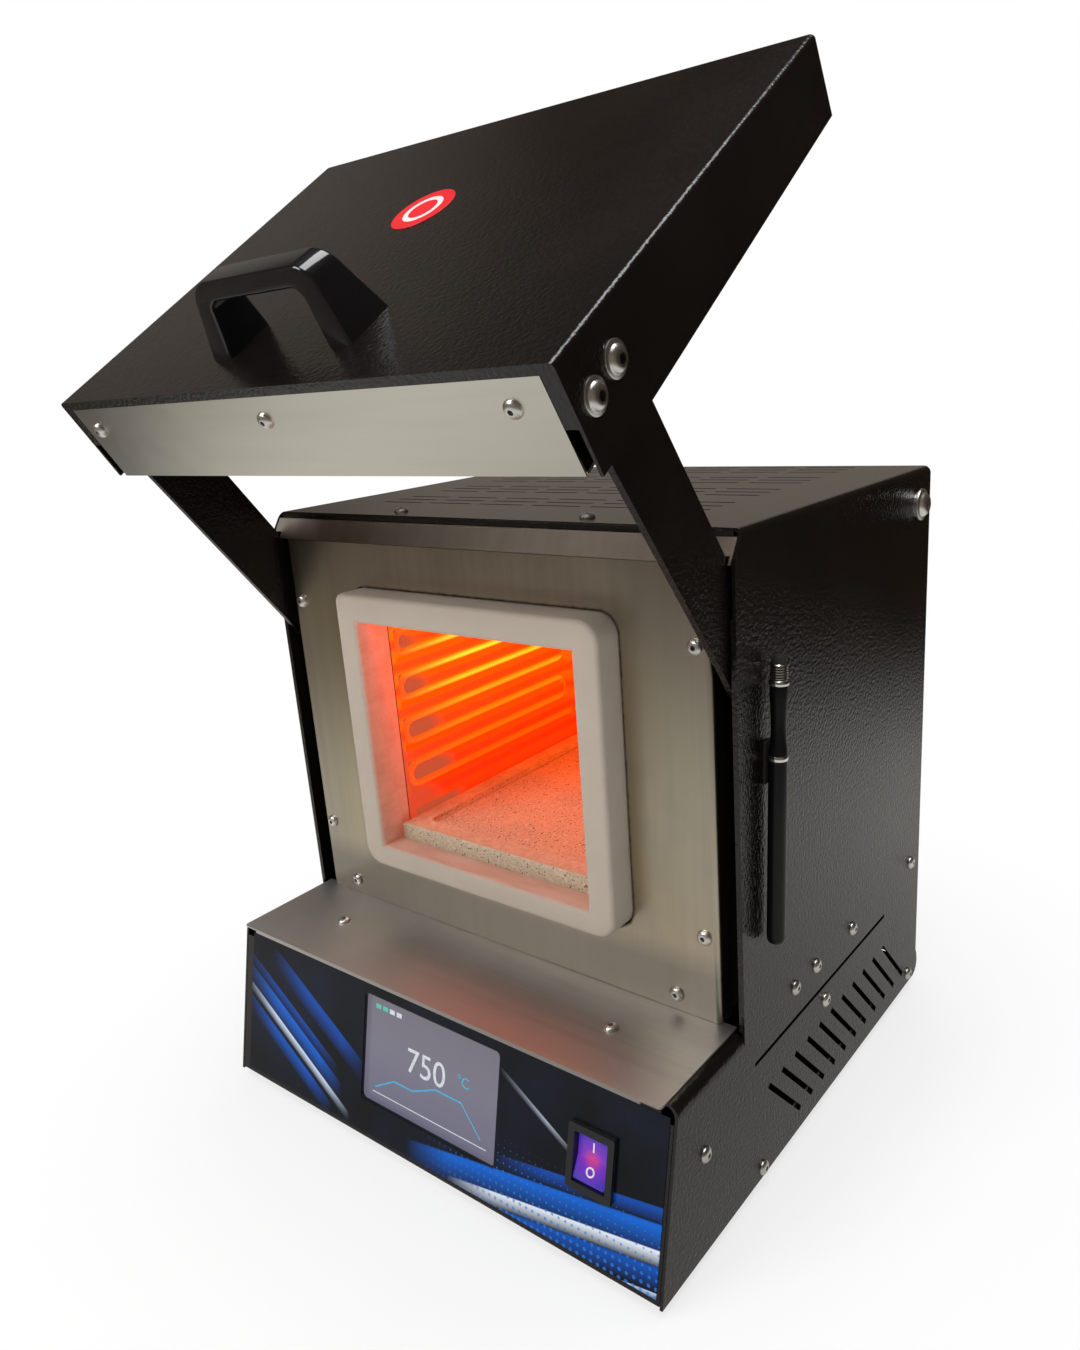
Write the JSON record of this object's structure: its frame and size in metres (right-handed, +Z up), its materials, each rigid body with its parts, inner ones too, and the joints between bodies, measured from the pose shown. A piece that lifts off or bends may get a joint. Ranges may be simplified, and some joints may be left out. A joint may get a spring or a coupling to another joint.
{
  "type": "burnout furnace",
  "caption": "Benchtop burnout furnace with a lift-up door on side arms, glowing muffle chamber with a ceramic mouth, sloping control panel and a magnetic stylus.",
  "frame": {"origin": "middle of the whole object's bounding box at the underside of its feet, with the door open as in the picture", "axes": "+Z up, -Y towards the front with the control panel, +X to the right as seen from the front"},
  "size_m": [0.3164, 0.3428, 0.5191],
  "materials": {
    "black_textured": "fine orange-peel powder coat, semi-gloss, near black",
    "front_black": "fine powder coat, near black",
    "stainless": "fine brushed stainless sheet",
    "galvanised": "dull zinc sheet",
    "screw_steel": "bright button heads",
    "ceramic_mouth": "cast refractory, matt, pale",
    "chamber_board": "refractory board, lit by the heat",
    "tray_ceramic": "speckled cast tray",
    "fibre_board": "ceramic fibre board, matt white",
    "hot_wire": "resistance wire at red heat",
    "bush_ceramic": "white steatite",
    "probe_steel": "heat-stained sheath",
    "screen_glass": "lit display behind a clear touch film",
    "circuit_board": "green lacquered board",
    "panel_print": "printed polyester film",
    "black_plastic": "glossy moulded plastic",
    "rocker_red": "lit translucent rocker",
    "rubber_black": "matt rubber",
    "label_red": "printed vinyl disc",
    "stylus_black": "glossy lacquer",
    "stylus_chrome": "polished and knurled",
    "stylus_rubber": "soft matt tip",
    "magnet": "nickel plated",
    "relay_grey": "extruded heat sink"
  },
  "bodies": {
    "casing": {"base_pan": "galvanised", "chamber_back": "chamber_board", "chamber_floor": "chamber_board", "chamber_left": "chamber_board", "chamber_right": "chamber_board", "chamber_roof": "chamber_board", "chamber_tray": "tray_ceramic", "control_board": "circuit_board", "control_panel": "front_black", "display_board": "circuit_board", "display_screen": "screen_glass", "door_sensor": "black_plastic", "element_left": "hot_wire", "element_right": "hot_wire", "element_terminals": "bush_ceramic", "feet": "rubber_black", "front_brow": "stainless", "front_plate": "stainless", "front_screws": "screw_steel", "fuse_holder": "black_plastic", "insulation_bottom": "fibre_board", "insulation_rear": "fibre_board", "insulation_sides": "fibre_board", "insulation_top": "fibre_board", "mains_inlet": "black_plastic", "mouth_frame": "ceramic_mouth", "muffle_housing": "galvanised", "muffle_rails": "galvanised", "outer_casing": "black_textured", "panel_film": "panel_print", "pivot_bolts": "screw_steel", "pivot_nuts": "screw_steel", "pivot_spacers": "screw_steel", "power_relay": "relay_grey", "rear_panel": "black_textured", "rocker_housing": "black_plastic", "shelf_plate": "stainless", "shelf_screws": "screw_steel", "side_screws": "screw_steel", "stop_pins": "screw_steel", "stylus_magnet": "magnet", "terminal_block": "black_plastic", "thermocouple": "probe_steel", "top_screws": "screw_steel"},
    "door": {"door_shell": "black_textured", "door_pan": "stainless", "door_insulation": "fibre_board", "door_handle": "black_plastic", "handle_screws": "screw_steel", "door_label": "label_red", "arm_right": "black_textured", "arm_left": "black_textured", "arm_screws": "screw_steel", "arm_nuts": "screw_steel", "strip_screws": "screw_steel", "door_magnet": "magnet"},
    "rocker": {"rocker_paddle": "rocker_red"},
    "stylus": {"stylus_barrel": "stylus_black", "stylus_trim": "stylus_chrome", "stylus_tip": "stylus_rubber"}
  },
  "joints": [
    {"name": "door_hinge", "type": "hinge", "parent": "casing", "child": "door", "pos_m": [-0.00195, 0.1488, 0.3116], "axis": [1, 0, 0], "range_deg": [0, 54.3]},
    {"name": "rocker_tilt", "type": "hinge", "parent": "casing", "child": "rocker", "pos_m": [0.10655, -0.12495, 0.05449], "axis": [1, 0, 0], "range_deg": [0, 16]},
    {"name": "stylus_lift", "type": "slide", "parent": "casing", "child": "stylus", "axis": [1, 0, 0], "range_m": [0, 0.06]}
  ]
}
